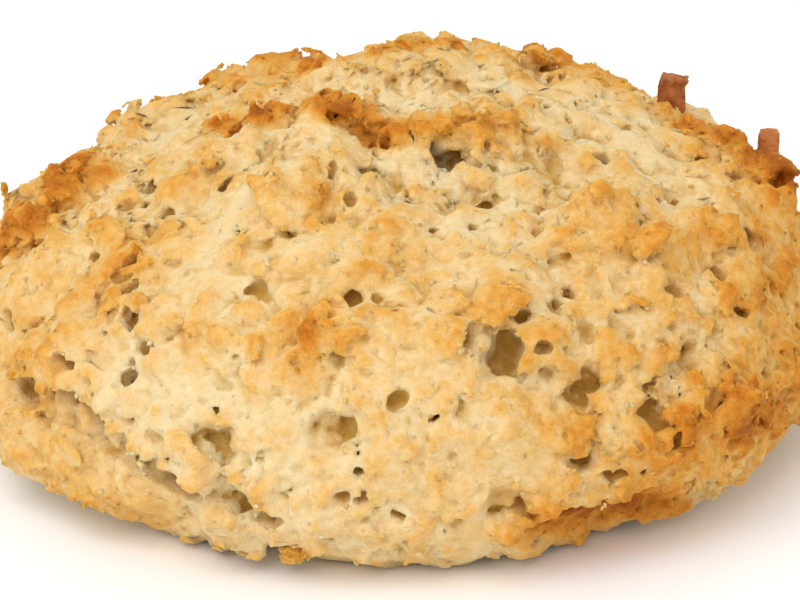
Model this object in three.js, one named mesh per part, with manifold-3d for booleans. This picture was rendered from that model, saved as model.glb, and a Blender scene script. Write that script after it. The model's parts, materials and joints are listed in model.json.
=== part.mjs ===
// A rock cake: one hand-dropped mound of stiff, crumbly dough, baked on a flat tray.
// Units are millimetres. +X runs along its length, +Y to its back and +Z up.
// The origin is the middle of its footprint, on the tray.
import * as THREE from "three";
import { ImprovedNoise } from "three/addons/math/ImprovedNoise.js";
import { mergeVertices } from "three/addons/utils/BufferGeometryUtils.js";
import Module from "manifold-3d";

// Driving dimensions of the smooth mound, before its crags.
const LENGTH = 83;
const DEPTH = 75;
const HEIGHT = 32.5;
const WAIST = 8.4; // height of the widest level above the tray
const TUCK = 14; // half height of the ellipsoid that rounds the foot under the waist
const SQUARENESS = 2.15; // 2 is an ellipsoid, more is boxier

// How finely each icosahedron is split into facets.
const SKIN_DETAIL = 18;
const PORE_DETAIL = 2;

// The facets below one height of the unit ball are squeezed below another, as the flat
// underside needs few of them.
const SQUEEZE = { from: -0.66, to: -0.3 };

// Skin within this many degrees of where the cake meets the tray is moved onto that edge.
const EDGE_SNAP = 1;

const CORE = new THREE.Vector3(0, 0, WAIST);
const noise = new ImprovedNoise();
const wasm = await Module();
wasm.setup();

// Turn is the angle round the cake from its front, towards +X, and tilt the angle above the waist.
function towards({ turn, tilt }) {
  const around = THREE.MathUtils.degToRad(turn);
  const above = THREE.MathUtils.degToRad(tilt);
  return new THREE.Vector3(
    Math.sin(around) * Math.cos(above),
    -Math.cos(around) * Math.cos(above),
    Math.sin(above),
  );
}

// Distance from the core to the smooth mound's skin.
function moundReach(direction) {
  const rise = direction.z > 0 ? HEIGHT - WAIST : TUCK;
  const sum =
    Math.abs(direction.x / (LENGTH / 2)) ** SQUARENESS +
    Math.abs(direction.y / (DEPTH / 2)) ** SQUARENESS +
    Math.abs(direction.z / rise) ** SQUARENESS;
  return sum ** (-1 / SQUARENESS);
}

function onMound(place, proud = 0) {
  const direction = towards(place);
  return direction.multiplyScalar(moundReach(direction) + proud).add(CORE);
}

// Broad swellings and hollows of the dough: how far each stands out, and its width.
const SWELLS = [
  { turn: -82, tilt: 26, rise: 1.4, spread: 8 }, // knob over the left end
  { turn: -48, tilt: -4, rise: 3.0, spread: 10 }, // lobe under the split
  { turn: -8, tilt: 0, rise: 1.8, spread: 15 }, // full front
  { turn: 98, tilt: 28, rise: 1.2, spread: 9 }, // ridge over the right end
  { turn: 50, tilt: 0, rise: 1.6, spread: 10 }, // right foot
  { turn: 28, tilt: 46, rise: -1.8, spread: 8 }, // hollow under the top's lip
  { turn: -46, tilt: 34, rise: -1.4, spread: 8 },
  { turn: -112, tilt: 40, rise: -3.6, spread: 16 }, // low left shoulder
  { turn: 170, tilt: 68, rise: 2.8, spread: 9 }, // crown
  { turn: 60, tilt: 75, rise: 0.6, spread: 9 },
  { turn: 190, tilt: 30, rise: -1.8, spread: 9 },
  { turn: 215, tilt: 6, rise: 2.2, spread: 11 },
  { turn: 240, tilt: 30, rise: 1.8, spread: 9 },
  { turn: 140, tilt: 14, rise: 2.0, spread: 10 },
].map((swell) => ({ ...swell, centre: onMound(swell) }));

// Clods of dough with flat tops and steep edges: how far each stands out, and its half width.
const CLODS = [
  { turn: -84, tilt: 32, rise: 2.0, half: 5.4 }, // left knob
  { turn: -70, tilt: 18, rise: 1.2, half: 4.5 },
  { turn: -100, tilt: 12, rise: 1.6, half: 6.0 },
  { turn: -76, tilt: 60, rise: 2.2, half: 4.4 }, // the top's lip, left to right
  { turn: -34, tilt: 72, rise: 2.2, half: 5.0 },
  { turn: 24, tilt: 66, rise: 2.4, half: 5.6 },
  { turn: 62, tilt: 58, rise: 1.8, half: 4.4 },
  { turn: 176, tilt: 66, rise: 1.4, half: 5.0 },
  { turn: -130, tilt: 62, rise: 1.4, half: 5.0 },
  { turn: 110, tilt: 46, rise: 1.6, half: 5.0 },
  { turn: 95, tilt: 20, rise: 1.8, half: 5.4 },
  { turn: -28, tilt: 50, rise: 1.7, half: 4.6 }, // plates on the front
  { turn: 12, tilt: 27, rise: 1.4, half: 4.8 },
  { turn: 46, tilt: 36, rise: 1.5, half: 4.2 },
  { turn: 66, tilt: 26, rise: 1.4, half: 4.2 },
  { turn: 40, tilt: 6, rise: 1.6, half: 5.0 },
  { turn: 64, tilt: 8, rise: 1.6, half: 4.6 },
  { turn: -62, tilt: -6, rise: 1.4, half: 6.0 },
  { turn: 205, tilt: 38, rise: 1.8, half: 5.4 }, // back
  { turn: 160, tilt: 30, rise: 1.6, half: 5.0 },
  { turn: 250, tilt: 16, rise: 1.6, half: 5.4 },
  { turn: 128, tilt: 6, rise: 1.6, half: 6.0 },
  { turn: 186, tilt: 2, rise: 1.4, half: 6.4 },
].map((clod) => ({ ...clod, centre: onMound(clod) }));

// Unevenness of dough dropped from a spoon: size across, and rise, of each scale.
const BROAD = { size: 14, rise: 1.5 };
const CRAGGY = { size: 7, rise: 1.6 };
const CRUMBLY = { size: 3.2, rise: 0.8 };

function noiseAt(point, { size }, shift = 0) {
  return noise.noise(point.x / size + shift, point.y / size, point.z / size);
}

function unevenness(point) {
  const ridged = (scale, shift) => 0.55 - 2.2 * Math.abs(noiseAt(point, scale, shift));
  const rough = 0.45 + 0.55 * THREE.MathUtils.smoothstep(point.z, 2, 24);
  return (
    BROAD.rise * noiseAt(point, BROAD) +
    rough * (CRAGGY.rise * ridged(CRAGGY, 9.2) + CRUMBLY.rise * ridged(CRUMBLY, 4.7))
  );
}

// Distance from the core to the skin of the dough.
function reach(direction) {
  const smooth = moundReach(direction);
  const point = direction.clone().multiplyScalar(smooth).add(CORE);
  let out = smooth + unevenness(point);
  for (const { centre, rise, spread } of SWELLS) {
    out += rise * Math.exp(-((point.distanceTo(centre) / spread) ** 2));
  }
  for (const { centre, rise, half } of CLODS) {
    const wander = 1 + 0.5 * noiseAt(point, CRUMBLY, 2.3);
    const apart = (point.distanceTo(centre) / half) * wander;
    out += rise * (1 - THREE.MathUtils.smoothstep(apart, 0.55, 1.1));
  }
  return out;
}

// A closed geometry as a solid that can be joined and cut.
function solid(geometry) {
  geometry.deleteAttribute("normal");
  geometry.deleteAttribute("uv");
  const merged = mergeVertices(geometry, 1e-4);
  return new wasm.Manifold(
    new wasm.Mesh({
      numProp: 3,
      vertProperties: merged.attributes.position.array,
      triVerts: new Uint32Array(merged.index.array),
    }),
  );
}

function squeezed(direction) {
  const { from, to } = SQUEEZE;
  const { mapLinear } = THREE.MathUtils;
  const z =
    direction.z < from
      ? mapLinear(direction.z, -1, from, -1, to)
      : mapLinear(direction.z, from, 1, to, 1);
  const level = Math.hypot(direction.x, direction.y) || 1;
  const width = Math.sqrt(Math.max(1 - z * z, 0)) / level;
  return new THREE.Vector3(direction.x * width, direction.y * width, z);
}

// The tilt at which the skin meets the tray, found by halving.
function edgeTilt(turn) {
  let under = -30;
  let over = 0;
  while (over - under > 0.01) {
    const tilt = (under + over) / 2;
    const direction = towards({ turn, tilt });
    if (reach(direction) * -direction.z > WAIST) under = tilt;
    else over = tilt;
  }
  return over;
}

// The skin in a direction. The tray cuts the foot off flat, with a clean edge.
function skin(direction) {
  const turn = THREE.MathUtils.radToDeg(Math.atan2(direction.x, -direction.y));
  const tilt = THREE.MathUtils.radToDeg(Math.asin(direction.z));
  const edge = tilt < 0 ? edgeTilt(turn) : -90;
  if (Math.abs(tilt - edge) < EDGE_SNAP) {
    const onEdge = towards({ turn, tilt: edge });
    return onEdge.multiplyScalar(WAIST / -onEdge.z).add(CORE).setZ(0);
  }
  if (tilt < edge) {
    return direction.clone().multiplyScalar(WAIST / -direction.z).add(CORE).setZ(0);
  }
  return direction.clone().multiplyScalar(reach(direction)).add(CORE);
}

function mound() {
  const geometry = new THREE.IcosahedronGeometry(1, SKIN_DETAIL);
  const at = geometry.attributes.position;
  for (let i = 0; i < at.count; i++) {
    const direction = new THREE.Vector3().fromBufferAttribute(at, i).normalize();
    at.setXYZ(i, ...skin(squeezed(direction)));
  }
  return solid(geometry);
}

// The split in the lower left front, where the crust tore as the dough spread.
// It falls from left to right, closing as it goes, and its root lies above its mouth.
const SPLIT = {
  start: { turn: -60, tilt: 7 },
  bend: { turn: -38, tilt: 12 },
  end: { turn: -13, tilt: -8 },
  wander: 2.5,
  depth: 7,
  gape: 2.8,
  slant: 1.5,
  stations: 14,
  sides: 8,
};

function alongSplit(share) {
  const { start, bend, end, wander } = SPLIT;
  const blend = (key) =>
    start[key] * (1 - share) ** 2 + 2 * bend[key] * share * (1 - share) + end[key] * share ** 2;
  return { turn: blend("turn"), tilt: blend("tilt") + wander * noise.noise(7 * share, 0.5, 0) };
}

// One closed wedge whose oval sections run from outside the skin to the split's root.
function splitWedge() {
  const { depth, gape, slant, stations, sides } = SPLIT;
  const points = [];
  for (let i = 0; i < stations; i++) {
    const share = i / (stations - 1);
    const open = Math.sin(Math.PI * (0.03 + 0.94 * share)) ** 0.5 * (1 - 0.5 * share);
    const mouth = onMound(alongSplit(share), 2.5);
    const root = onMound(alongSplit(share), -depth * open);
    root.z += slant * open;
    const middle = mouth.clone().add(root).multiplyScalar(0.5);
    const inwards = root.clone().sub(mouth).multiplyScalar(0.5);
    const across = new THREE.Vector3(0, 0, 1).cross(inwards).cross(inwards).normalize();
    for (let j = 0; j < sides; j++) {
      const angle = (2 * Math.PI * j) / sides;
      const ragged = 1 + 0.4 * noise.noise(i * 0.9, j * 0.7, 0.5);
      points.push(
        middle
          .clone()
          .addScaledVector(inwards, Math.cos(angle))
          .addScaledVector(across, Math.sin(angle) * gape * open * ragged),
      );
    }
  }
  return loft(points, stations, sides);
}

// Rings of points joined into a closed skin, with a flat cap at each end.
function loft(points, rings, sides) {
  const index = [];
  for (let i = 0; i + 1 < rings; i++) {
    for (let j = 0; j < sides; j++) {
      const a = i * sides + j;
      const b = i * sides + ((j + 1) % sides);
      index.push(a, a + sides, b, b, a + sides, b + sides);
    }
  }
  const last = (rings - 1) * sides;
  for (let j = 1; j + 1 < sides; j++) {
    index.push(0, j, j + 1, last, last + j + 1, last + j);
  }
  const geometry = new THREE.BufferGeometry().setFromPoints(points);
  geometry.setIndex(index);
  return solid(geometry);
}

// The widest pores that burst through the skin: radius across, and depth.
const PORES = [
  { turn: 15, tilt: 20, radius: 2.1, depth: 3.4 },
  { turn: -9, tilt: 10, radius: 2.3, depth: 3.0 },
  { turn: 26, tilt: 14, radius: 1.7, depth: 2.8 },
  { turn: 34, tilt: 10, radius: 1.8, depth: 2.8 },
  { turn: -26, tilt: 7, radius: 2.0, depth: 3.0 },
  { turn: 14, tilt: 0, radius: 2.2, depth: 2.6 },
  { turn: 16, tilt: 60, radius: 2.0, depth: 3.4 },
  { turn: 70, tilt: 20, radius: 1.6, depth: 2.6 },
  { turn: 182, tilt: 16, radius: 2.0, depth: 3.0 },
  { turn: 225, tilt: 22, radius: 1.8, depth: 2.8 },
];

function pore({ turn, tilt, radius, depth }) {
  const geometry = new THREE.IcosahedronGeometry(1, PORE_DETAIL);
  const at = geometry.attributes.position;
  const point = new THREE.Vector3();
  for (let i = 0; i < at.count; i++) {
    point.fromBufferAttribute(at, i);
    point.multiplyScalar(1 + 0.55 * noise.noise(point.x + turn, point.y * 1.4, point.z * 1.4));
    at.setXYZ(i, ...point);
  }
  const outwards = towards({ turn, tilt });
  geometry.scale(depth, radius * 1.25, radius * 0.8);
  geometry.applyQuaternion(
    new THREE.Quaternion().setFromUnitVectors(new THREE.Vector3(1, 0, 0), outwards),
  );
  geometry.translate(...outwards.multiplyScalar(reach(outwards)).add(CORE));
  return solid(geometry);
}

// The largest of a solid's separate pieces, without the crumbs that the cuts set loose.
function largest(body) {
  return body
    .decompose()
    .reduce((kept, piece) => (piece.volume() > kept.volume() ? piece : kept));
}

// Vertices and triangles of the finished solid, set down with its footprint centred.
function centred(body) {
  const mesh = body.getMesh();
  const geometry = new THREE.BufferGeometry();
  geometry.setAttribute("position", new THREE.BufferAttribute(mesh.vertProperties, 3));
  geometry.setIndex(new THREE.BufferAttribute(mesh.triVerts, 1));
  geometry.computeBoundingBox();
  const middle = geometry.boundingBox.getCenter(new THREE.Vector3());
  return geometry.translate(-middle.x, -middle.y, -geometry.boundingBox.min.z);
}

const crumb = new THREE.MeshStandardMaterial({
  color: 0xe7b973,
  roughness: 0.8,
  metalness: 0,
});

const cut = PORES.map(pore).reduce(
  (left, hole) => left.subtract(hole),
  mound().subtract(splitWedge()),
);
const cake = new THREE.Mesh(centred(largest(cut)), crumb);
cake.name = "cake";

const rockCake = new THREE.Group();
rockCake.add(cake);

export default rockCake;
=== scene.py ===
import json
import math

import bpy
import numpy as np
import openvdb
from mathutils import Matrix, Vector

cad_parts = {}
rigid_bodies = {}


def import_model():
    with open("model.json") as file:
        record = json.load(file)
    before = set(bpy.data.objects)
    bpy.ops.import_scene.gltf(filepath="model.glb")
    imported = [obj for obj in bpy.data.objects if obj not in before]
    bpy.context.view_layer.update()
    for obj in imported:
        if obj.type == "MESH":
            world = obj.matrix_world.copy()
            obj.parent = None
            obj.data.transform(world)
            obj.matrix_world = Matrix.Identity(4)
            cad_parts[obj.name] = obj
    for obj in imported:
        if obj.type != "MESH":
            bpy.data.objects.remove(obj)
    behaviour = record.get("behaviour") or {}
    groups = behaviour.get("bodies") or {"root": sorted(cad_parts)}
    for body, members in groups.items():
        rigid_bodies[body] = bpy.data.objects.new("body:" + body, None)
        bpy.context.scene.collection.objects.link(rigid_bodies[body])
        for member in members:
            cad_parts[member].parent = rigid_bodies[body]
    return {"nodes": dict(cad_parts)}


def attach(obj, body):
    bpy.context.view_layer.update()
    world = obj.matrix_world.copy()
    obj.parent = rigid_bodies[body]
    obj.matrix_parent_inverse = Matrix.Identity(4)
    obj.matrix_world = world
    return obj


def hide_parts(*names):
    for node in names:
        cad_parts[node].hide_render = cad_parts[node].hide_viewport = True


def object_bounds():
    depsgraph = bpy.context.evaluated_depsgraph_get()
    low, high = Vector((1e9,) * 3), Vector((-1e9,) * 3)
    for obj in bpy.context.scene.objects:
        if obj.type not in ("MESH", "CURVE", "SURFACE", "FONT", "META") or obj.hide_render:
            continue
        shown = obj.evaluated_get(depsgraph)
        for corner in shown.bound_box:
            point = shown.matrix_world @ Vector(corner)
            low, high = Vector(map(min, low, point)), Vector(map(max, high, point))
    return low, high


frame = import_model()
cad_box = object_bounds()

# The cake: one mound of rubbed-in dough, dropped from a spoon and baked until its ridges browned.
# It tore open as it rose, so the front is pale bare crumb, and a lobe split away low at the left.
# The mound is softened first, then its crumb is worked in a block of small cells, in millimetres.
MM = 0.001


def keep_only(piece):
    bpy.ops.object.select_all(action="DESELECT")
    piece.select_set(True)
    bpy.context.view_layer.objects.active = piece


def edit_everything():
    bpy.ops.object.mode_set(mode="EDIT")
    bpy.ops.mesh.select_all(action="SELECT")


def modify(piece, kind, **settings):
    modifier = piece.modifiers.new(kind.lower(), kind)
    for setting, value in settings.items():
        setattr(modifier, setting, value)
    bpy.ops.object.modifier_apply(modifier=modifier.name)


def values_of(parts, name, kind=np.float32):
    flat = np.empty(len(parts) * 3, kind)
    parts.foreach_get(name, flat)
    return flat.reshape(-1, 3)


bpy.ops.object.select_all(action="DESELECT")
dough = frame["nodes"]["cake"].copy()
dough.data = dough.data.copy()
dough.name = "dough"
dough.parent = None
bpy.context.scene.collection.objects.link(dough)
keep_only(dough)
edit_everything()
bpy.ops.mesh.remove_doubles(threshold=0.001 * MM)
bpy.ops.object.mode_set(mode="OBJECT")
modify(dough, "REMESH", mode="VOXEL", voxel_size=0.7 * MM)
modify(dough, "SMOOTH", factor=0.6, iterations=8)
dough.data.calc_loop_triangles()
skin_faces = values_of(dough.data.loop_triangles, "vertices", np.int32).astype(np.uint32)
skin_points = values_of(dough.data.vertices, "co") / MM
bpy.data.objects.remove(dough)

# Each cell of the block holds how far it lies outside the crumb, less than zero inside it.
CELL = 0.25
KNOWN_DEPTH = 3.6
MARGIN = 3.0
low, high = (np.array(end) / MM for end in cad_box)
first_cell = np.floor((low - MARGIN) / CELL).astype(int)
cells = np.ceil((high - low + 2 * MARGIN) / CELL).astype(int) + 1
block_corner = tuple(int(i) for i in first_cell)
axes = [((first_cell[a] + np.arange(cells[a])) * CELL).astype(np.float32) for a in range(3)]
spacing = openvdb.createLinearTransform(voxelSize=CELL)
level = openvdb.FloatGrid.createLevelSetFromPolygons(
    skin_points, triangles=skin_faces, transform=spacing, halfWidth=KNOWN_DEPTH / CELL
)
solid = np.zeros(tuple(cells), np.float32)
level.copyToArray(solid, ijk=block_corner)


def cloudy(size, seed, stretch=(1, 1, 1)):
    """Smooth random swellings of about the given size, spread evenly about zero."""
    starts = []
    shares = []
    for a in range(3):
        along = (axes[a] - axes[a][0]) / (size * stretch[a])
        start = np.floor(along).astype(int)
        t = (along - start).astype(np.float32)
        starts.append(start)
        shares.append(
            [(1 - t) ** 3, 3 * t**3 - 6 * t**2 + 4, -3 * t**3 + 3 * t**2 + 3 * t + 1, t**3]
        )
    rng = np.random.default_rng(seed)
    grid = rng.standard_normal([start[-1] + 4 for start in starts], dtype=np.float32)
    for a in (2, 1, 0):
        shape = [1, 1, 1]
        shape[a] = -1
        spread = 0
        for k in range(4):
            spread = spread + shares[a][k].reshape(shape) * np.take(grid, starts[a] + k, axis=a)
        grid = spread
    grid *= 1 / grid[::3, ::3, ::3].std()
    return grid


def rough(size, seed, octaves, gain, stretch=(1, 1, 1)):
    """Swellings with finer and finer ones on them."""
    total = cloudy(size, seed, stretch)
    for i in range(1, octaves):
        total += gain**i * cloudy(size / 2**i, seed + i, stretch)
    total *= 1 / total[::3, ::3, ::3].std()
    return total


def billows(size, seed):
    """Rounded puffs with sharp creases between them."""
    return np.abs(cloudy(size, seed)) - 0.8


# Places on the cake are a turn, from the front round to its right, and a tilt above its widest level.
# Lumps and holes are squared to the way uphill, which leans back with the slope of the front.
MIDDLE = np.array([0.0, 0.0, 8.4])
UPHILL = [0, 0.41, 0.91]
ragged = rough(1.5, 5, 2, 0.7)


def outward(turn, tilt):
    around, above = math.radians(turn), math.radians(tilt)
    return np.array(
        [
            math.sin(around) * math.cos(above),
            -math.cos(around) * math.cos(above),
            math.sin(above),
        ]
    )


def sample(field, points):
    """The field's value at each point, evened out between the cells round it."""
    index = (points - [axis[0] for axis in axes]) / CELL
    cell = np.clip(np.floor(index).astype(int), 0, cells - 2)
    t = (index - cell).astype(np.float32)
    total = 0
    for dx in (0, 1):
        for dy in (0, 1):
            for dz in (0, 1):
                share = np.abs(1 - dx - t[:, 0]) * np.abs(1 - dy - t[:, 1]) * np.abs(1 - dz - t[:, 2])
                total = total + share * field[cell[:, 0] + dx, cell[:, 1] + dy, cell[:, 2] + dz]
    return total


def on_crumb(turn, tilt):
    """The place where the crumb is met from outside, and the way it faces there."""
    ray = outward(turn, tilt)
    reaches = np.arange(60, 5, -0.2)
    depths = sample(solid, MIDDLE + reaches[:, None] * ray)
    hit = np.flatnonzero(depths < 0)[0]
    place = MIDDLE + (reaches[hit] - 0.2 * depths[hit] / (depths[hit] - depths[hit - 1] - 1e-6)) * ray
    around = 1.2 * np.eye(3)
    slope = sample(solid, place + around) - sample(solid, place - around)
    return place, slope / np.linalg.norm(slope)


def zone(spots):
    """A soft spot round each place, over the whole block: turn, tilt, reach, strength."""
    total = np.zeros(tuple(cells), np.float32)
    for turn, tilt, reach, strength in spots:
        place, _ = on_crumb(turn, tilt)
        x, y, z = [np.exp(-(((axes[a] - place[a]) / reach) ** 2) / 2).astype(np.float32) for a in range(3)]
        flat = strength * y[:, None] * z[None, :]
        total += x[:, None, None] * flat[None]
    return total


def frame_at(normal, lie, tip=0):
    """Three axes of a lump or hole: two along the crumb, turned by lie, and one out of it, tipped."""
    side = np.cross(UPHILL, normal)
    side /= np.linalg.norm(side)
    rise = np.cross(normal, side)
    a = math.radians(lie)
    first_axis = math.cos(a) * side + math.sin(a) * rise
    second_axis = -math.sin(a) * side + math.cos(a) * rise
    b = math.radians(tip)
    return np.array(
        [
            first_axis,
            math.cos(b) * second_axis + math.sin(b) * normal,
            -math.sin(b) * second_axis + math.cos(b) * normal,
        ]
    )


def block_round(centre, reach):
    spans = []
    for a in range(3):
        start = max(int((centre[a] - reach - axes[a][0]) / CELL), 0)
        stop = min(int((centre[a] + reach - axes[a][0]) / CELL) + 2, cells[a])
        spans.append(slice(start, max(stop, start)))
    return tuple(spans)


def oval(block, centre, turned, radii, raggedness):
    """Distance outside an egg shape with a ragged skin."""
    x = axes[0][block[0]][:, None, None] - np.float32(centre[0])
    y = axes[1][block[1]][None, :, None] - np.float32(centre[1])
    z = axes[2][block[2]][None, None, :] - np.float32(centre[2])
    reach = 0
    steepness = 0
    for axis, radius in zip(turned.astype(np.float32), radii):
        along = (axis[0] * x + axis[1] * y + axis[2] * z) / radius
        reach = reach + along**2
        steepness = steepness + (along / radius) ** 2
    reach = np.sqrt(reach)
    return reach * (reach - 1) / np.sqrt(steepness + 1e-9) + raggedness * ragged[block]


def join(block, shape, blend):
    old = solid[block]
    mix = np.clip(0.5 + 0.5 * (old - shape) / blend, 0, 1)
    solid[block] = old * (1 - mix) + shape * mix - blend * mix * (1 - mix)


def carve(block, shape, blend):
    old = solid[block]
    hole = -shape
    mix = np.clip(0.5 - 0.5 * (old - hole) / blend, 0, 1)
    solid[block] = old * (1 - mix) + hole * mix + blend * mix * (1 - mix)


# Where the mound swells or falls away: turn, tilt, reach, height.
SPRING = 0.42
SWELLINGS = [
    (-102, 14, 5.0, -0.2),
    (-109, 22, 4.0, -1.6),
    (-112, 18, 3.0, -0.4),
    (-120, 29, 5.0, 1.5),
    (-140, 30, 5.0, 1.0),
    (-146, 35, 3.0, 0.5),
    (-149, 40, 3.0, -0.9),
    (-140, 60, 3.0, 0.5),
    (-175, 64, 3.0, -0.8),
    (-158, 55, 3.0, 0.4),
    (160, 61, 4.0, 0.4),
    (165, 70, 4.0, -0.5),
    (155, 54, 4.0, -0.5),
    (143, 39, 3.0, -1.3),
    (93, 20, 3.0, -0.6),
    (140, 28, 4.0, 0.9),
    (113, 28, 4.0, 0.6),
    (97, 25, 4.0, 0.5),
    (98, 17, 5.0, -2.0),
    (-57, -3, 5.0, -0.8),
    (-48, -5, 6.0, -1.6),
    (-38, -7, 4.0, -0.6),
    (14, -12, 6.0, -0.8),
    (24, -8, 3.0, -0.9),
    (31, -8, 3.0, -0.8),
    (46, -6, 5.0, -0.9),
    (54, -4, 6.0, -1.5),
    (62, -1, 5.0, -1.8),
]
solid -= SPRING + zone(SWELLINGS)

# The mouth of the split filled up before its lip is cut: half height and depth of the fill, then the
# turns along it, each with the tilts above and below that it lies between.
FILLS = [
    (
        5.2,
        1.6,
        [
            (-66, 14, -5),
            (-61, 15, -6),
            (-56, 15, -6),
            (-51, 14, -7),
            (-46, 13, -7),
            (-41, 11, -8),
            (-36, 10, -9),
            (-31, 9, -9),
            (-26, 8, -9),
        ],
    ),
    (2.6, 2.2, [(-57, 15, 7), (-52, 15, 7), (-47, 14, 6), (-42, 13, 6)]),
]
FILL_HALF_LENGTH = 3.4
FILL_HALF_DEPTH = 3.2
FILL_REACH = 7
for tall, sunk, stations in FILLS:
    for turn, above, below in stations:
        upper, upper_normal = on_crumb(turn, above)
        lower, lower_normal = on_crumb(turn, below)
        normal = upper_normal + lower_normal
        normal /= np.linalg.norm(normal)
        centre = (upper + lower) / 2 - sunk * normal
        block = block_round(centre, FILL_REACH)
        radii = (FILL_HALF_LENGTH, tall, FILL_HALF_DEPTH)
        join(block, oval(block, centre, frame_at(normal, 0), radii, 0.2), 0.8)

BROAD_RISE = 0.22
PUFF_RISE = 0.42
solid -= BROAD_RISE * rough(5.0, 11, 2, 0.5)
solid -= PUFF_RISE * billows(2.7, 61)
untorn = solid.copy()

# Where the crumb tore less, and where it tore more: turn, tilt, reach, strength.
CALM = [
    (-25, 22, 10, 1.1),
    (0, 40, 9, 1.0),
    (-40, 38, 7, 0.8),
    (10, 8, 8, 0.6),
    (25, 45, 7, 0.7),
    (-50, 1, 5, 0.6),
]
WILD = [
    (0, 76, 12, 0.6),
    (-80, 27, 8, 0.4),
    (95, 30, 9, 0.1),
    (45, 4, 8, 1.0),
    (180, 20, 20, 0.5),
    (-120, 15, 15, 0.5),
    (110, 10, 15, 0.5),
]
calm = zone(CALM)
wild = zone(WILD)


def torn(solid, size, seed, drop, share, lip, calming, stretch=(1, 1, 1)):
    """Scraps of skin pulled off to a depth of drop, from about the given share of it."""
    pull = rough(size, seed, 4, 0.5, stretch)
    pull -= np.quantile(pull[::4, ::4, ::4], share)
    pull += calming * calm
    pull *= size * 0.35
    depth = drop * (0.75 + 0.5 * wild)
    pull -= lip * np.clip(-solid / depth, 0, 1)
    soft_edge = 0.08
    mix = np.clip(0.5 + 0.5 * (solid + pull) / soft_edge, 0, 1)
    cutaway = solid * mix - pull * (1 - mix) + soft_edge * mix * (1 - mix)
    return np.minimum(cutaway, solid + depth)


solid = torn(solid, 5.5, 21, 0.55, 0.40, 0.3, 0.9)

# Lumps of dough: turn, tilt, (half length, half width, half height), lie, tip, how far sunk, browned.
LUMPS = [
    (-122, 33, (4.0, 1.8, 0.9), 8, 0, 0.5, 0.1),
    (-138, 36, (4.2, 1.8, 0.9), 20, 0, 0.5, 0.1),
    (75, 76, (4.6, 2.6, 1.0), -10, 0, 0.4, 0.1),
    (112, 63, (1.4, 1.0, 0.7), -30, 0, 0.5, 0.4),
    (135, 50, (2.6, 1.6, 0.9), -20, 0, 0.3, 0.2),
    (38, 57, (2.2, 1.0, 1.0), -15, -6, 0.3, 0.2),
    (-26, 45, (3.2, 3.8, 1.3), -10, -8, 0.1, 0.12),
    (-36, 56, (3.2, 2.2, 0.8), 0, 0, 0.4, 0.05),
    (13, 27.5, (4.2, 1.7, 1.2), 10, -14, 0.1, 0.2),
    (40, 35, (2.0, 3.2, 0.8), 30, -6, 0.3, 0.1),
    (45, 31, (1.8, 1.4, 0.9), 0, -8, 0.2, 0.2),
    (46, 8, (2.2, 2.8, 1.2), 30, -6, 0.3, 0.15),
    (-50, 0, (6.0, 2.4, 1.0), -12, 0, 0.7, 0.0),
]
# Crumbly ridges of small lumps: path of turns and tilts, size, how far apart, browned.
RIDGES = [
    ([(-92, 51), (-80, 55), (-73, 60), (-74, 65)], 1.5, 0.4, 0.85),
    ([(-80, 53), (-74, 58)], 0.8, 0.8, 0.3),
    ([(-66, 71), (-40, 70.5), (-17, 70), (0, 69)], 1.4, 0.4, 0.75),
    ([(-30, 68), (-14, 68), (-4, 67)], 0.8, 0.6, 0.5),
    ([(14, 67), (29, 66.5), (45, 62.5), (50, 59)], 1.5, 0.4, 0.42),
    ([(14, 64), (26, 63), (38, 60)], 0.9, 0.8, 0.18),
    ([(-160, 72), (-179, 73), (158, 71), (150, 69)], 0.9, 0.5, 0.4),
    ([(133, 36), (118, 40), (104, 37)], 0.9, 0.7, 0.2),
    ([(100, 34.5), (98, 31), (97, 28), (94, 24.5)], 1.5, 0.35, 0.5),
    ([(97, 26), (94, 24.5), (91, 22.5)], 1.3, 0.4, 0.4),
    ([(-84, 13), (-80, 19), (-79, 24), (-78, 29), (-80, 32)], 1.5, 0.4, 0.45),
    ([(-74, 22), (-74, 29)], 0.9, 0.8, 0.25),
    ([(-57, 40), (-60, 46), (-66, 50)], 0.9, 0.8, 0.12),
    ([(-50, 22), (-54, 28), (-58, 33)], 0.8, 0.8, 0.15),
    ([(-23, 51), (-19.5, 48.5), (-17, 44.5), (-18.5, 40)], 0.75, 0.5, 0.3),
    ([(8, 28), (13, 27), (20, 26)], 1.0, 0.8, 0.2),
    ([(35, 37), (42, 33), (47, 31)], 1.0, 0.8, 0.2),
    ([(50, 18), (55, 19), (60, 17)], 1.1, 0.8, 0.3),
    ([(20, 9), (24, 8.5), (27, 9)], 0.9, 0.8, 0.2),
    ([(38, 6), (44, 7), (49, 10)], 1.1, 0.8, 0.2),
    ([(40, 2), (47, 2), (54, 3)], 1.1, 0.8, 0.1),
    ([(15, -3), (22, -1.5), (29, -2), (37, -2.5)], 0.9, 0.7, 0.0),
    ([(-46, 13), (-40, 10.5), (-35, 8), (-31, 6), (-28, 4)], 1.2, 0.5, -0.1),
    ([(-34, 19), (-30, 18), (-27, 20)], 0.7, 0.8, 0.15),
    ([(-17, 24), (-13, 25), (-9, 23)], 0.8, 0.8, 0.12),
    ([(150, 30), (170, 34), (-170, 30)], 1.3, 0.8, 0.2),
    ([(-150, 12), (-165, 16), (175, 12)], 1.3, 0.8, 0.2),
    ([(120, 12), (135, 18), (150, 12)], 1.3, 0.8, 0.2),
    ([(-118, 4), (-135, 8), (-148, 6)], 1.3, 0.8, 0.2),
]
LUMP_SHAPE = np.array([1.25, 0.95, 0.8])
LUMP_RAGGED = 0.34
LUMP_BLEND = 0.5


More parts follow.
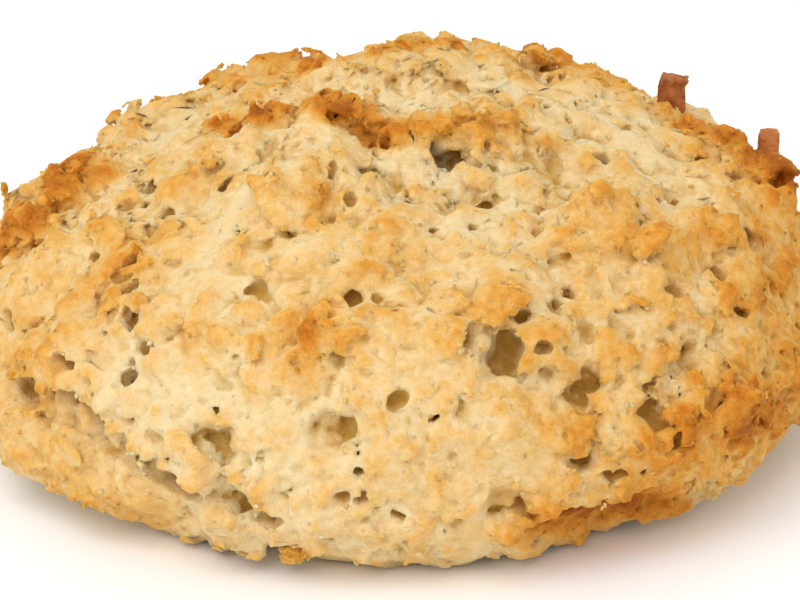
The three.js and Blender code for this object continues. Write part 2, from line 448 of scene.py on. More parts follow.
def lumps_along(path, size, apart, brown, rng):
    lumps = []
    ends = [on_crumb(turn, tilt)[0] for turn, tilt in path]
    for (turn_a, tilt_a), (turn_b, tilt_b), a, b in zip(path, path[1:], ends, ends[1:]):
        if abs(turn_b - turn_a) > 180:
            turn_b += math.copysign(360, turn_a)
        steps = max(int(np.linalg.norm(b - a) / (apart * size)), 1)
        for k in range(steps):
            share = (k + rng.random()) / steps
            radii = size * rng.uniform(0.7, 1.25) * LUMP_SHAPE * rng.uniform(0.85, 1.15, 3)
            turn = turn_a + share * (turn_b - turn_a) + rng.normal(0, 1.2)
            tilt = tilt_a + share * (tilt_b - tilt_a) + rng.normal(0, 1.0)
            lie, tip = rng.normal(0, 30), rng.normal(-6, 8)
            sink = rng.uniform(0.2, 0.6)
            lumps.append((turn, tilt, tuple(radii), lie, tip, sink, brown * rng.uniform(0.5, 1.3)))
    return lumps


lumps = list(LUMPS)
for row, ridge in enumerate(RIDGES):
    lumps += lumps_along(*ridge, np.random.default_rng(row + 40))
crusted = []
homes = [on_crumb(turn, tilt) for turn, tilt, *_ in lumps]
for (place, normal), (turn, tilt, radii, lie, tip, sink, brown) in zip(homes, lumps):
    centre = place - sink * radii[2] * normal
    turned = frame_at(normal, lie, tip)
    block = block_round(centre, max(radii) + 2)
    join(block, oval(block, centre, turned, radii, LUMP_RAGGED), LUMP_BLEND)
    crusted.append((centre, turned, np.array(radii), brown))
untorn = np.minimum(untorn, solid)

# Where upper crumb overhangs the crumb below it: path, how deep, how far down it fades.
LIP_OF_SPLIT = [
    (-64, 6),
    (-57, 6.5),
    (-52.5, 7.5),
    (-46.4, 8.5),
    (-43, 7.5),
    (-38, 4.5),
    (-34, 2.8),
    (-30, 1),
    (-26, -1),
]
OVERHANGS = [
    (LIP_OF_SPLIT, 2.2, 4.5),
    ([(-25, 0.3), (-21, -0.8), (-16, -1.5)], 0.6, 1.8),
    ([(16, -1.5), (24, -2), (31, -3), (38, -2.5), (42, -1)], 1.3, 4.0),
    ([(-30, 36.5), (-24, 36.7), (-20, 37.5)], 0.6, 1.6),
    ([(12, 63.5), (20, 62.5), (29, 60.5)], 1.0, 2.0),
    ([(-36, 66), (-20, 67), (-4, 67)], 0.6, 1.8),
]
LIP_RAGGED = 0.35
LIP_UNDERCUT = 0.7
LIP_EDGE = 0.4
DEGREES_TO_FULL_DEPTH = 3
sideways = axes[0][:, None, None]
inwards = axes[1][None, :, None]
upwards = axes[2][None, None, :] - np.float32(MIDDLE[2])
level_reach = np.hypot(sideways, inwards)
turns = np.degrees(np.arctan2(sideways, -inwards))
for path, deep, fade in OVERHANGS:
    ends = [on_crumb(turn, tilt)[0] for turn, tilt in path]
    block = block_round(np.mean(ends, 0), np.ptp(ends, 0).max() / 2 + 2 * fade)
    path_turns = np.array([turn for turn, _ in path])
    path_tilts = np.array([tilt for _, tilt in path])
    turn_here = turns[block[0], block[1]]
    level_here = level_reach[block[0], block[1]]
    height_here = upwards[:, :, block[2]]
    edge_tilt = np.interp(turn_here, path_turns, path_tilts).astype(np.float32)
    tilt_here = np.degrees(np.arctan2(height_here, level_here))
    reach_here = np.hypot(level_here, height_here)
    over_edge = np.radians(tilt_here - edge_tilt) * reach_here + LIP_RAGGED * ragged[block]
    old = solid[block]
    hidden = np.clip(0.5 - (over_edge - LIP_UNDERCUT * np.clip(-old, 0, 2)) / LIP_EDGE, 0, 1)
    start = np.clip((turn_here - path_turns[0]) / DEGREES_TO_FULL_DEPTH, 0, 1)
    end = np.clip((path_turns[-1] - turn_here) / DEGREES_TO_FULL_DEPTH, 0, 1)
    easing = start * end
    solid[block] = old + deep * hidden * easing * np.exp(-((np.minimum(over_edge, 0) / fade) ** 2))

solid = torn(solid, 2.6, 31, 0.27, 0.42, 0.2, 0.2, (1, 1, 1.4))

# Strands of pulled crumb, and where they show most.
STRANDY = [
    (30, 32, 9, 1.0),
    (48, 22, 9, 1.0),
    (55, 8, 8, 0.6),
    (-12, 62, 7, 0.9),
    (8, 5, 9, 0.6),
    (-60, 20, 9, 0.5),
    (150, 20, 18, 0.6),
    (-140, 20, 18, 0.6),
]
STRAND_RISE = 0.2
STRAND_LENGTHENED = (1, 1, 3.2)
strands = np.clip(1 - np.abs(cloudy(0.85, 51, STRAND_LENGTHENED)) / 0.35, 0, 1)
solid -= STRAND_RISE * strands * (0.1 + zone(STRANDY))

# Burst bubbles: turn, tilt, (half width, half height, depth), lie.
PORES = [
    (15.3, 19.6, (2.0, 1.85, 2.2), -35),
    (20.6, 20.6, (0.6, 0.55, 1.6), 0),
    (21, 17, (0.4, 0.35, 0.9), 0),
    (27.4, 14.1, (0.75, 1.6, 1.0), -35),
    (34.9, 9.1, (1.4, 1.1, 1.2), 10),
    (31, 14.5, (0.5, 0.7, 1.3), 0),
    (30, 27, (0.6, 0.5, 1.6), 0),
    (27.5, 26.5, (0.4, 0.35, 1.3), 0),
    (25, 25.5, (0.5, 0.3, 1.0), 0),
    (29, 22, (0.8, 0.6, 0.9), 0),
    (62, 46, (1.0, 0.6, 2.0), 0),
    (21, 61.5, (1.6, 0.8, 1.5), 10),
    (-18, -3, (1.5, 0.4, 0.8), -25),
    (0, -1, (0.6, 0.4, 1.2), 0),
    (-8, 2, (0.5, 0.35, 0.8), 0),
    (-5, 2, (0.4, 0.35, 0.8), 0),
    (14, -1, (1.9, 0.45, 0.8), 5),
    (5, 13, (0.35, 0.3, 1.0), 0),
    (8, 14, (0.35, 0.6, 1.0), 0),
    (6.5, 15, (0.3, 0.3, 1.0), 0),
    (-58, 35, (0.45, 0.5, 1.8), 10),
    (-56, 32, (0.4, 0.9, 1.6), 20),
    (-51, 26, (0.5, 1.5, 1.8), -15),
    (-48, 23, (0.4, 0.9, 1.8), 10),
    (-43, 20, (0.5, 1.2, 1.8), 20),
    (-38, 17, (0.8, 0.6, 1.6), 0),
    (-64, 34, (0.3, 0.4, 1.2), 0),
    (-52, 15, (0.5, 0.4, 1.2), -30),
    (67, 23, (0.8, 0.9, 2.0), 0),
    (55, 17, (0.9, 0.5, 1.6), 0),
    (57, 23, (0.4, 0.5, 1.3), 0),
    (46, 24, (0.9, 0.5, 1.0), 0),
    (36, 13, (0.5, 0.9, 1.2), 0),
    (43, 15, (0.6, 1.3, 1.0), -30),
    (42, 10, (0.6, 1.3, 1.4), -30),
    (47, 11, (0.9, 0.6, 1.4), 0),
    (37, 5, (1.1, 0.5, 1.2), 20),
    (49, 5, (0.6, 1.2, 1.2), 10),
    (30, 2, (1.6, 0.5, 0.8), 10),
    (24, 5, (0.9, 0.5, 1.4), 10),
    (-12, 56, (1.6, 0.6, 1.4), 0),
    (-45, 53, (1.4, 0.8, 1.6), 30),
    (-48, 46, (1.8, 0.8, 1.4), 30),
    (19, 25, (1.2, 0.35, 0.7), 0),
    (170, 30, (2.0, 1.2, 2.2), 10),
    (200, 20, (1.6, 1.0, 2.0), 0),
    (215, 28, (2.2, 0.8, 2.0), 20),
    (240, 22, (1.2, 1.2, 2.0), 0),
    (130, 16, (1.8, 1.0, 2.0), 0),
    (150, 8, (2.4, 0.8, 1.8), 10),
    (-100, 20, (1.6, 0.8, 1.8), 0),
    (98, 10, (1.8, 1.0, 2.0), 10),
]
PORE_SUNK = 0.35
PORE_RAGGED = 0.2
PORE_BLEND = 0.2
for turn, tilt, radii, lie in PORES:
    place, normal = on_crumb(turn, tilt)
    place = place - PORE_SUNK * radii[2] * normal
    block = block_round(place, max(radii) + 2)
    carve(block, oval(block, place, frame_at(normal, lie), radii, PORE_RAGGED), PORE_BLEND)

# Narrow cracks under the ridges: path, half width, depth, how far they rise inward.
CRACKS = [
    ([(-86, 50), (-76, 54), (-68, 58)], 0.3, 1.0, 0.5),
    ([(-36, 67), (-22, 67.5), (-8, 68)], 0.3, 1.0, 0.5),
    ([(14, 63), (20, 61.5), (27, 59.5)], 0.5, 1.8, 0.5),
    ([(84, 29), (88, 24), (92, 21)], 0.35, 1.2, 0.5),
    ([(8, 22), (13, 22.5), (19, 24)], 0.4, 1.4, 0.5),
    ([(-19.5, 53), (-15.5, 46), (-17, 40)], 0.3, 1.0, 0.0),
    ([(-78, 17), (-72, 21), (-74, 27)], 0.3, 1.0, 0.3),
    ([(16, -5.5), (24, -4), (31, -4.5), (38, -5)], 0.4, 1.6, 0.5),
]
CUTS_PER_STRETCH = 4
CUT_LENGTH = 1.2
for path, wide, deep, rising in CRACKS:
    stations = []
    for (turn_a, tilt_a), (turn_b, tilt_b) in zip(path, path[1:]):
        for step in range(CUTS_PER_STRETCH):
            share = step / CUTS_PER_STRETCH
            turn = turn_a + share * (turn_b - turn_a)
            stations.append(on_crumb(turn, tilt_a + share * (tilt_b - tilt_a)))
    for k, (place, normal) in enumerate(stations[1:-1], 1):
        along = stations[k + 1][0] - stations[k - 1][0]
        along /= np.linalg.norm(along)
        inward = -normal + np.array([0, 0, rising])
        inward -= (inward @ along) * along
        inward /= np.linalg.norm(inward)
        across = np.cross(inward, along)
        centre = place + 0.25 * deep * inward + 0.25 * across * math.sin(1.7 * k)
        block = block_round(centre, deep + 1.5)
        turned = np.array([along, across, inward])
        carve(block, oval(block, centre, turned, (CUT_LENGTH, wide, deep), 0.16), 0.15)

# The finest puffs and tears of the crumb: size, seed and rise of each set of puffs.
for size, seed, height in ((1.4, 62, 0.24), (0.8, 63, -0.15), (0.5, 64, -0.09)):
    solid -= height * billows(size, seed)
solid = torn(solid, 1.3, 36, 0.24, 0.45, 0.12, 0.0, (1, 1, 1.3))
solid = torn(solid, 0.75, 46, 0.17, 0.45, 0.06, 0.0)

# Clusters of small bubbles all over, each with a larger one in its middle.
CLUSTERS = 130
rng = np.random.default_rng(7)
for _ in range(CLUSTERS):
    turn, tilt = rng.uniform(-180, 180), math.degrees(math.asin(rng.uniform(-0.1, 1)))
    home, normal = on_crumb(turn, tilt)
    turned = frame_at(normal + 0.01, rng.uniform(0, 180))
    for k in range(rng.integers(1, 7)):
        size = 0.2 + (0.8 if k == 0 else 0.3) * rng.random() ** 3
        spread = rng.normal(0, 1.1, 2) if k else (0, 0)
        place = home + turned[0] * spread[0] + turned[1] * spread[1] - normal * rng.uniform(0, 0.5)
        radii = (size * rng.uniform(1, 1.7), size, 0.2 + size * rng.uniform(0.7, 1.2))
        block = block_round(place, max(radii) + 0.8)
        carve(block, oval(block, place, turned, radii, 0.18), 0.2)

# The underside lies on the tray in the middle and curls up towards both ends.
CURL_LEFT = {"height": 3.7, "from": 9.0, "over": 19.0}
CURL_RIGHT = {"height": 3.9, "from": 22.0, "over": 16.0}
toward_left = np.clip((-axes[0] - CURL_LEFT["from"]) / CURL_LEFT["over"], 0, 1)
toward_right = np.clip((axes[0] - CURL_RIGHT["from"]) / CURL_RIGHT["over"], 0, 1)
curl = CURL_LEFT["height"] * toward_left**3 + CURL_RIGHT["height"] * toward_right
curl = curl[:, None] + 0.25 * cloudy(2.2, 71)[:, :, 4] * (curl[:, None] > 0.05)
curl = np.maximum(curl, 0)
solid = np.maximum(solid, curl[:, :, None] - axes[2][None, None, :])
np.clip(solid, -KNOWN_DEPTH, KNOWN_DEPTH, out=solid)

shaped = openvdb.FloatGrid(KNOWN_DEPTH)
shaped.transform = spacing
shaped.gridClass = openvdb.GridClass.LEVEL_SET
shaped.copyFromArray(solid, ijk=block_corner)
points, _, quads = shaped.convertToPolygons(0.0, 0.0)
mesh = bpy.data.meshes.new("cake_crumb")
mesh.from_pydata(points * MM, [], quads)
mesh.update()
cake = bpy.data.objects.new("cake_crumb", mesh)
bpy.context.scene.collection.objects.link(cake)
keep_only(cake)


def select_only(mesh, kind, chosen):
    points_mode = kind == "vertices"
    bpy.context.tool_settings.mesh_select_mode = (points_mode, False, not points_mode)
    for name in ("vertices", "edges", "polygons"):
        parts = getattr(mesh, name)
        parts.foreach_set("select", chosen if name == kind else np.zeros(len(parts), bool))


# The faces point inward until the end of the shaping, and are turned outward there. Few are kept where
# the cake lies on the tray, and where it faces straight up.
face_normals = values_of(mesh.polygons, "normal")
face_heights = values_of(mesh.polygons, "center")[:, 2] / MM
select_only(mesh, "polygons", (face_heights < 0.4) | (face_normals[:, 2] < -0.85))
bpy.ops.object.mode_set(mode="EDIT")
bpy.ops.mesh.decimate(ratio=0.04)
bpy.ops.object.mode_set(mode="OBJECT")

# Bits of crumb that hang free of the cake are taken away.
nearness = np.abs(values_of(mesh.vertices, "co") / MM).sum(1)
chosen = np.zeros(len(mesh.vertices), bool)
chosen[int(np.argmin(nearness))] = True
select_only(mesh, "vertices", chosen)
bpy.ops.object.mode_set(mode="EDIT")
bpy.ops.mesh.select_linked()
bpy.ops.mesh.select_all(action="INVERT")
bpy.ops.mesh.delete(type="VERT")
bpy.ops.object.mode_set(mode="OBJECT")

MOST_TRIANGLES = 198000
mesh.calc_loop_triangles()
modify(cake, "DECIMATE", ratio=min(1.0, MOST_TRIANGLES / len(mesh.loop_triangles)))
standing = values_of(mesh.vertices, "co")
standing[:, 2] = np.maximum(standing[:, 2], 0)
mesh.vertices.foreach_set("co", standing.ravel())
mesh.flip_normals()
mesh.update()
bpy.ops.object.shade_smooth()


def blurred(field, radius):
    n = max(int(round(radius / CELL)), 1)
    for a in range(3):
        pad = [(n + 1, n) if b == a else (0, 0) for b in range(3)]
        running = np.cumsum(np.pad(field, pad, mode="edge"), axis=a, dtype=np.float32)
        top = [slice(None)] * 3
        bottom = [slice(None)] * 3
        top[a] = slice(2 * n + 1, None)
        bottom[a] = slice(0, -(2 * n + 1))
        field = (running[tuple(top)] - running[tuple(bottom)]) / (2 * n + 1)
    return field


# What the colours need to know at each point: how far the skin is peeled away, how hollow the crumb
# is close by and further round, and how browned it is.
crumb_points = values_of(mesh.vertices, "co") / MM
peeled = sample(-untorn, crumb_points)
filled = (np.clip(-solid / CELL, -0.5, 0.5) + 0.5).astype(np.float32)
hollow = sample(blurred(blurred(filled, 0.5), 0.5), crumb_points) - 0.5
wide_hollow = sample(blurred(blurred(filled, 1.5), 1.5), crumb_points) - 0.5

# Browned patches, and paler ones less than zero: turn, tilt, reach, strength.
BROWNED = [
    (-60, 70, 3.0, 0.15),
    (21, 61.5, 1.3, 0.6),
    (-178, 74, 3.0, 0.2),
    (150, 69, 2.0, 0.2),
    (55, 62, 3.0, 0.15),
    (128, 62, 1.4, 0.3),
    (116, 36, 3.0, 0.1),
    (89, 35, 2.6, 0.25),
    (100, 31, 3.0, 0.3),
    (89, 25, 3.0, 0.35),
    (92, 20, 4.0, 0.25),
    (-87, 12, 4.5, 0.28),
    (-81, 20, 3.0, 0.25),
    (-80, 27, 3.2, 0.25),
    (-83, 33, 3.0, 0.2),
    (-100, 28, 4.0, 0.2),
    (-19, 45, 1.5, 0.3),
    (-59, 43, 3.0, 0.2),
    (58, 27, 2.5, 0.2),
    (31, 34, 2.5, 0.1),
    (66, 15, 3.0, 0.25),
    (75, 20, 4.0, 0.35),
    (60, 5, 5.0, 0.4),
    (68, 0, 6.0, 0.4),
    (50, 8, 3.0, 0.35),
    (43, 9, 2.4, 0.3),
    (47, 3, 2.8, 0.35),
    (38, 7, 2.4, 0.3),
    (23, 9, 2.4, 0.3),
    (33, 15, 3.0, 0.2),
    (33, 2, 3.5, 0.35),
    (18, -4, 2.2, 0.45),
    (21, -4, 2.4, 0.7),
    (28, -6, 2.4, 0.9),
    (35, -6.5, 2.4, 0.9),
    (43, -7, 2.0, 0.5),
    (-57, 18, 7.0, 0.22),
    (60, 24, 9.0, 0.13),
    (45, 27, 6.0, 0.08),
    (36, -1, 4.0, 0.15),
    (-53, 27, 3.0, 0.2),
    (-61, 10, 4.0, 0.15),
    (-14, 24, 3.0, 0.35),
    (-17, 19, 3.0, 0.2),
    (0, 30, 5.0, 0.15),
    (-31, 19, 2.0, 0.3),
    (-4, 38, 3.0, 0.2),
    (-56, 1, 4.0, 0.2),
    (-45, -4, 3.5, 0.25),
    (-37, -7, 2.4, 0.45),
    (-34, 11, 5.0, -0.2),
    (-34, 3, 3.0, -0.1),
    (-13, 9, 5.0, -0.15),
    (-45, 48, 3.0, -0.2),
    (-10, 56, 3.5, -0.15),
    (30, 52, 4.0, -0.1),
    (150, 35, 10.0, 0.45),
    (-150, 25, 10.0, 0.45),
    (180, 5, 12.0, 0.35),
    (100, 3, 9.0, 0.4),
    (-105, 5, 9.0, 0.35),
    (200, 55, 6.0, 0.4),
]
crust = np.zeros(len(crumb_points), np.float32)
for centre, turned, radii, brown in crusted:
    along = ((crumb_points - centre) @ turned.T.astype(np.float32)) / radii
    near = np.clip(1.8 - np.sqrt((along**2).sum(1)), 0, 1)
    crust = np.where(np.abs(brown * near) > np.abs(crust), brown * near, crust)
patches = np.zeros(len(crumb_points), np.float32)
for turn, tilt, reach, strength in BROWNED:
    place, _ = on_crumb(turn, tilt)
    patches += strength * np.exp(-(((crumb_points - place) / reach) ** 2).sum(1) / 2)
browned = patches + crust


def attribute(piece, name, values):
    layer = piece.data.attributes.new(name, "FLOAT", "POINT")
    layer.data.foreach_set("value", np.ascontiguousarray(values, dtype=np.float32))


attribute(cake, "peeled", peeled)
attribute(cake, "hollow", np.clip(0.5 + 1.6 * hollow, 0, 1))
attribute(cake, "wide_hollow", np.clip(0.5 + 1.6 * wide_hollow, 0, 1))
attribute(cake, "browned", browned)


def new_material(name):
    material = bpy.data.materials.new(name)
    material.use_nodes = True
    return material, material.node_tree


def feed(tree, value, socket):
    if isinstance(value, (int, float)):
        socket.default_value = value
    else:
        tree.links.new(value, socket)


def maths(tree, operation, a, b=None, clamp=False):
    new = tree.nodes.new("ShaderNodeMath")
    new.operation = operation
    new.use_clamp = clamp
    feed(tree, a, new.inputs[0])
    if b is not None:
        feed(tree, b, new.inputs[1])
    return new.outputs[0]


def above(tree, value, start, gain, clamp=False):
    """How far a value is past the start, times the gain."""
    return maths(tree, "MULTIPLY", maths(tree, "SUBTRACT", value, start), gain, clamp)


def reading(tree, name):
    new = tree.nodes.new("ShaderNodeAttribute")
    new.attribute_name = name
    return new.outputs["Fac"]


def noise(tree, scale, detail, roughness, distortion=0.0):
    coordinates = tree.nodes.get("Texture Coordinate") or tree.nodes.new("ShaderNodeTexCoord")
    new = tree.nodes.new("ShaderNodeTexNoise")
    new.inputs["Scale"].default_value = scale
    new.inputs["Detail"].default_value = detail
    new.inputs["Roughness"].default_value = roughness
    new.inputs["Distortion"].default_value = distortion
    tree.links.new(coordinates.outputs["Object"], new.inputs["Vector"])
    return new.outputs["Fac"]


def colour(red, green, blue):
    values = []
    for v in (red, green, blue):
        v /= 255
        values.append(v / 12.92 if v <= 0.04045 else ((v + 0.055) / 1.055) ** 2.4)
    return (*values, 1)


def shades(tree, share, stops):
    """A colour for each share, blended between the stops."""
    ramp = tree.nodes.new("ShaderNodeValToRGB")
    elements = ramp.color_ramp.elements
    elements[0].position, elements[0].color = stops[0]
    elements[1].position, elements[1].color = stops[-1]
    for position, shade in stops[1:-1]:
        elements.new(position).color = shade
    tree.links.new(share, ramp.inputs["Fac"])
    return ramp.outputs["Color"]


# Multiplies the base colour by a painted shade colour, as far as the share goes.
def with_painted_shade(tree, share, base, painted_shade):
    mix = tree.nodes.new("ShaderNodeMix")
    mix.data_type = "RGBA"
    mix.blend_type = "MULTIPLY"
    tree.links.new(share, mix.inputs["Factor"])
    tree.links.new(base, mix.inputs["A"])
    mix.inputs["B"].default_value = painted_shade
    return mix.outputs["Result"]


def bumped(tree, height, strength, distance):
    bump = tree.nodes.new("ShaderNodeBump")
    bump.inputs["Strength"].default_value = strength
    bump.inputs["Distance"].default_value = distance
    tree.links.new(height, bump.inputs["Height"])
    return bump.outputs["Normal"]


# Baked crumb: cream where it tore, golden and then brown where the skin or a ridge met the heat. Its
# hollows, wide and small, are darkened with painted shade.
BAKE = [
    (0.0, colour(237, 221, 179)),
    (0.25, colour(234, 206, 153)),
    (0.45, colour(229, 184, 108)),
    (0.62, colour(221, 159, 64)),
    (0.8, colour(206, 129, 30)),
    (1.0, colour(160, 88, 14)),
]
# Painted shade: the colours the crumb is multiplied by in wide hollows and in small ones, in place of the
# shadow there.
WIDE_HOLLOW_PAINTED_SHADE = colour(225, 203, 148)
HOLLOW_PAINTED_SHADE = colour(244, 229, 188)
crumb, tree = new_material("crumb")
skin = maths(tree, "SUBTRACT", 1.0, maths(tree, "MULTIPLY", reading(tree, "peeled"), 1.8), True)
bake = maths(tree, "MULTIPLY", reading(tree, "browned"), 0.62)
bake = maths(tree, "ADD", bake, above(tree, noise(tree, 300, 4, 0.6, 0.6), 0.5, 0.6))
bake = maths(tree, "ADD", bake, above(tree, noise(tree, 1300, 3, 0.6), 0.5, 0.45))
bake = maths(tree, "ADD", bake, above(tree, skin, 0.6, 0.13))
bulge = maths(tree, "SUBTRACT", 0.5, reading(tree, "wide_hollow"))
bake = maths(tree, "ADD", bake, maths(tree, "MULTIPLY", bulge, 0.4))
bake = maths(tree, "ADD", bake, 0.30, True)
shade = shades(tree, bake, BAKE)
# Painted shade: darker in the wide hollows, and a little darker in the small ones.
shade = with_painted_shade(tree, above(tree, reading(tree, "wide_hollow"), 0.6, 3.5, True), shade, WIDE_HOLLOW_PAINTED_SHADE)
shade = with_painted_shade(tree, above(tree, reading(tree, "hollow"), 0.5, 3.0, True), shade, HOLLOW_PAINTED_SHADE)
crinkle = maths(tree, "ABSOLUTE", maths(tree, "SUBTRACT", noise(tree, 700, 3, 0.6, 0.4), 0.5))
crinkle = maths(tree, "SUBTRACT", 1.0, maths(tree, "MULTIPLY", crinkle, 6.0), True)
grain = maths(tree, "MULTIPLY", noise(tree, 3500, 3, 0.7), 0.5)
grain = maths(tree, "ADD", grain, noise(tree, 1300, 4, 0.65, 0.5))
grain = maths(tree, "ADD", grain, maths(tree, "MULTIPLY", crinkle, 0.12))
shader = tree.nodes["Principled BSDF"]
tree.links.new(shade, shader.inputs["Base Color"])
tree.links.new(bumped(tree, grain, 0.8, 0.4 * MM), shader.inputs["Normal"])
shader.inputs["Roughness"].default_value = 0.6
shader.inputs["Subsurface Weight"].default_value = 0.6
shader.inputs["Subsurface Radius"].default_value = (1.0, 0.85, 0.6)
shader.inputs["Subsurface Scale"].default_value = 1.1 * MM
shader.inputs["Specular IOR Level"].default_value = 0.2
cake.data.materials.append(crumb)
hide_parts("cake")
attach(cake, "root")


# Scraps of crumb: small torn-edged flakes, about a millimetre across at most, of the same baked dough.
# They broke from the crust, and lie nearly flat on it, pressed in by over half their thickness.
def taken_apart(piece):
    piece.data.calc_loop_triangles()
    faces = np.array([tuple(triangle.vertices) for triangle in piece.data.loop_triangles])
    points = values_of(piece.data.vertices, "co") / MM
    bpy.data.objects.remove(piece)
    return points, faces


def flake_model(seed, corners):
    bpy.ops.object.select_all(action="DESELECT")
    bpy.ops.mesh.primitive_circle_add(vertices=corners, radius=MM, fill_type="TRIFAN")
    edit_everything()
    bpy.ops.transform.vertex_random(offset=0.38 * MM, uniform=1.0, seed=seed)
    bpy.ops.mesh.extrude_region_move(TRANSFORM_OT_translate={"value": (0, 0, 0.3 * MM)})
    bpy.ops.mesh.select_all(action="SELECT")
    bpy.ops.mesh.normals_make_consistent(inside=False)
    bpy.ops.object.mode_set(mode="OBJECT")
    return taken_apart(bpy.context.object)


crumb_inward = -values_of(mesh.vertices, "normal")


def scattered(name, models, spots, sizes, tilting, proud, rng):
    """Copies of the models on the crumb, joined in one mesh and browned like what they lie on.

    A model's thickness goes into the crumb, and proud is how much of its size stands out of it.
    """
    all_points = []
    all_faces = []
    homes = []
    start = 0
    for n, i in enumerate(spots):
        model, faces = models[n % len(models)]
        inward = crumb_inward[i].astype(float)
        inward += rng.normal(0, tilting, 3)
        inward /= np.linalg.norm(inward)
        turned = frame_at(inward + 1e-4, rng.uniform(0, 360))
        points = (model * sizes[n]) @ turned + crumb_points[i] - proud * sizes[n] * inward
        all_points.append(points)
        all_faces.append(faces + start)
        start += len(points)
        homes += [i] * len(points)
    joined = bpy.data.meshes.new(name)
    joined.from_pydata(np.concatenate(all_points) * MM, [], np.concatenate(all_faces).tolist())
    joined.update()
    piece = bpy.data.objects.new(name, joined)
    bpy.context.scene.collection.objects.link(piece)
    keep_only(piece)
    bpy.ops.object.shade_smooth_by_angle(angle=math.radians(50))
    shade = np.repeat(rng.normal(0, 0.12, len(spots)), [len(points) for points in all_points])
    attribute(piece, "peeled", np.full(len(homes), 0.15))
    attribute(piece, "hollow", np.full(len(homes), 0.4))
    attribute(piece, "wide_hollow", np.full(len(homes), 0.4))
    attribute(piece, "browned", browned[homes] + shade)
    piece.data.materials.append(crumb)
    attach(piece, "root")


FLAKES = 180
rng = np.random.default_rng(17)
exposed = np.flatnonzero((crumb_points[:, 2] > 1.2) & (hollow < 0.06))
flake_spots = rng.choice(exposed, FLAKES, replace=False)
scattered(
    "crumb_flakes",
    [flake_model(k + 3, 9 + k % 3) for k in range(8)],
    flake_spots,
    0.18 + 0.3 * rng.random(FLAKES) ** 2,
    0.15,
    0.12,
    rng,
)


# Grains of crumb: rounded specks of baked dough, up to two thirds of a millimetre across.
# They rubbed off the torn parts, and cling half sunk in the crumb all over the cake.
def grain_model(seed):
    bpy.ops.object.select_all(action="DESELECT")
    bpy.ops.mesh.primitive_ico_sphere_add(subdivisions=2, radius=MM)
    edit_everything()
    bpy.ops.transform.vertex_random(offset=0.28 * MM, uniform=1.0, seed=seed)
    bpy.ops.transform.resize(value=(1, 0.75, 0.6))
    bpy.ops.object.mode_set(mode="OBJECT")
    return taken_apart(bpy.context.object)


GRAINS = 1700
grain_spots = rng.choice(exposed, GRAINS, replace=False)
scattered(
    "crumb_grains",
    [grain_model(k + 5) for k in range(6)],
    grain_spots,
    0.09 + 0.24 * rng.random(GRAINS) ** 2,
    0.5,
    0.0,
    rng,
)

# The shards: two blocky chips of dark crust, each about as wide as a matchstick.
# They broke off browned crust, and stand on edge with their feet sunk in the crumb.
# Each row: name, middle, height of the top, width and thickness, lean, slant, seed, how much paler.
SHARDS = [
    ("shard_left", (26.2, 8.5), 31.3, (2.6, 1.5), 0.4, -12, 5, -0.15),
    ("shard_right", (35.5, 5.5), 26.8, (2.0, 1.4), 0.0, 4, 8, 0.1),
]
SHARD_FOOT = 0.9
TOAST = [(0.2, colour(128, 62, 24)), (0.9, colour(214, 140, 76))]
toasted, tree = new_material("toasted_crust")
speckle = noise(tree, 900, 4, 0.5)
toast = shades(tree, maths(tree, "ADD", speckle, reading(tree, "paler")), TOAST)
shader = tree.nodes["Principled BSDF"]
tree.links.new(toast, shader.inputs["Base Color"])
tree.links.new(bumped(tree, speckle, 0.6, 0.3 * MM), shader.inputs["Normal"])
shader.inputs["Roughness"].default_value = 0.6
shader.inputs["Specular IOR Level"].default_value = 0.25


def top_of_crumb(x, y):
    heights = np.arange(45, 5, -0.1)
    inside = sample(solid, np.array([x, y, 0]) + heights[:, None] * np.array([0, 0, 1.0])) < 0
    return heights[np.flatnonzero(inside)[0]]


def roughened(piece, size, height):
    clouds = bpy.data.textures.new("clouds", "CLOUDS")
    clouds.noise_scale = size * MM
    clouds.noise_depth = 3
    modify(piece, "DISPLACE", texture=clouds, texture_coords="LOCAL", strength=height * MM)


for name, (x, y), top, (wide, thick), lean, slant, seed, paler in SHARDS:
    tall = top - top_of_crumb(x, y) + SHARD_FOOT
    bpy.ops.object.select_all(action="DESELECT")
    bpy.ops.mesh.primitive_cube_add(size=MM)
    shard = bpy.context.object
    shard.name = name
    edit_everything()
    bpy.ops.transform.resize(value=(wide, thick, tall))
    bpy.ops.mesh.subdivide(number_cuts=3)
    bpy.ops.transform.vertex_random(offset=0.14 * MM, uniform=1.0, seed=seed)
    bpy.ops.object.mode_set(mode="OBJECT")
    select_only(shard.data, "vertices", values_of(shard.data.vertices, "co")[:, 2] > 0.3 * tall * MM)
    bpy.ops.object.mode_set(mode="EDIT")
    bpy.ops.transform.translate(value=(lean * MM, 0, 0))
    shard_top = (0, 0, tall / 2 * MM)
    bpy.ops.transform.rotate(value=math.radians(slant), orient_axis="Y", center_override=shard_top)
    bpy.ops.mesh.select_all(action="SELECT")
    bpy.ops.transform.translate(value=(x * MM, y * MM, (top - tall / 2) * MM))
    bpy.ops.object.mode_set(mode="OBJECT")
    modify(shard, "REMESH", mode="VOXEL", voxel_size=0.11 * MM)
    modify(shard, "SMOOTH", factor=0.5, iterations=14)
    roughened(shard, 0.9, 0.3)
    roughened(shard, 0.3, 0.08)
    bpy.ops.object.shade_smooth()
    to_the_right = (values_of(shard.data.vertices, "co")[:, 0] / MM - x) / wide
    attribute(shard, "paler", paler + 0.25 * np.clip(to_the_right - 0.1, 0, 1))
    shard.data.materials.append(toasted)
    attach(shard, "root")

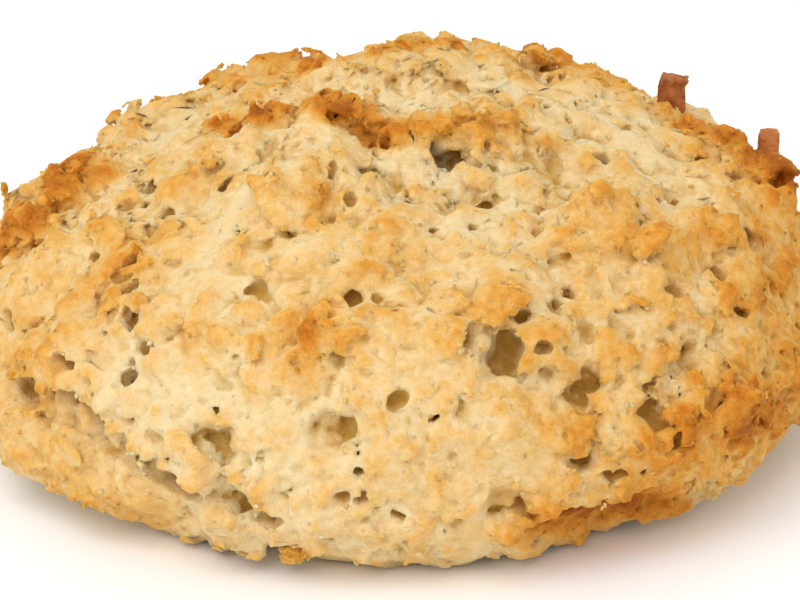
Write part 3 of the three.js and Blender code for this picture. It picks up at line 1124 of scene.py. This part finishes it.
# The foot crumb: one rough orange crumb of the dough, about 3 mm long.
# It fell from the crust and stuck to the front of the cake, just above the tray.
FOOT_CRUMB_PLACE = (-9.4 * MM, -34.2 * MM, 2.2 * MM)
FOOT_CRUMB_RADII = (1.5, 1.05, 1.0)
FOOT_CRUMB_LOOKS = {"peeled": 0.1, "hollow": 0.4, "wide_hollow": 0.3, "browned": 0.3}
bpy.ops.object.select_all(action="DESELECT")
bpy.ops.mesh.primitive_ico_sphere_add(subdivisions=5, radius=MM)
foot_crumb = bpy.context.object
foot_crumb.name = "foot_crumb"
edit_everything()
bpy.ops.transform.resize(value=FOOT_CRUMB_RADII)
bpy.ops.transform.translate(value=FOOT_CRUMB_PLACE)
bpy.ops.object.mode_set(mode="OBJECT")
roughened(foot_crumb, 0.9, 1.3)
roughened(foot_crumb, 0.35, 0.5)
bpy.ops.object.shade_smooth()
for name, value in FOOT_CRUMB_LOOKS.items():
    attribute(foot_crumb, name, np.full(len(foot_crumb.data.vertices), value))
foot_crumb.data.materials.append(crumb)
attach(foot_crumb, "root")

# The studio: a pale floor just under the cake, white all round, and one large soft light.
# The camera looks down at the torn front from close by, with a long lens.
bpy.ops.mesh.primitive_plane_add(size=4, location=(0, 0, -0.2 * MM))
floor = bpy.context.object
floor.name = "floor"
white, tree = new_material("white_floor")
tree.nodes["Principled BSDF"].inputs["Base Color"].default_value = (0.97, 0.97, 0.97, 1)
tree.nodes["Principled BSDF"].inputs["Roughness"].default_value = 0.9
floor.data.materials.append(white)

world = bpy.data.worlds.new("studio")
world.use_nodes = True
world.node_tree.nodes["Background"].inputs["Color"].default_value = (1, 1, 1, 1)
world.node_tree.nodes["Background"].inputs["Strength"].default_value = 0.84
bpy.context.scene.world = world
bpy.ops.object.light_add(type="AREA", location=(-0.18, -0.36, 0.55))
light = bpy.context.object
light.data.shape = "SQUARE"
light.data.size = 0.5
light.data.energy = 2.3
light.rotation_euler = (Vector((0, 0, 0.01)) - light.location).to_track_quat("-Z", "Y").to_euler()

CAMERA_TARGET = Vector((-0.0001, 0, 0.01137))
CAMERA_DISTANCE = 0.3224
CAMERA_ELEVATION = math.radians(24)
toward_camera = Vector((0, -math.cos(CAMERA_ELEVATION), math.sin(CAMERA_ELEVATION)))
bpy.ops.object.camera_add()
camera = bpy.context.object
camera.data.lens = 150
camera.data.clip_start = 0.01
camera.location = CAMERA_TARGET + CAMERA_DISTANCE * toward_camera
camera.rotation_euler = (math.radians(90) - CAMERA_ELEVATION, 0, 0)
bpy.context.scene.camera = camera
bpy.context.scene.view_settings.view_transform = "Standard"
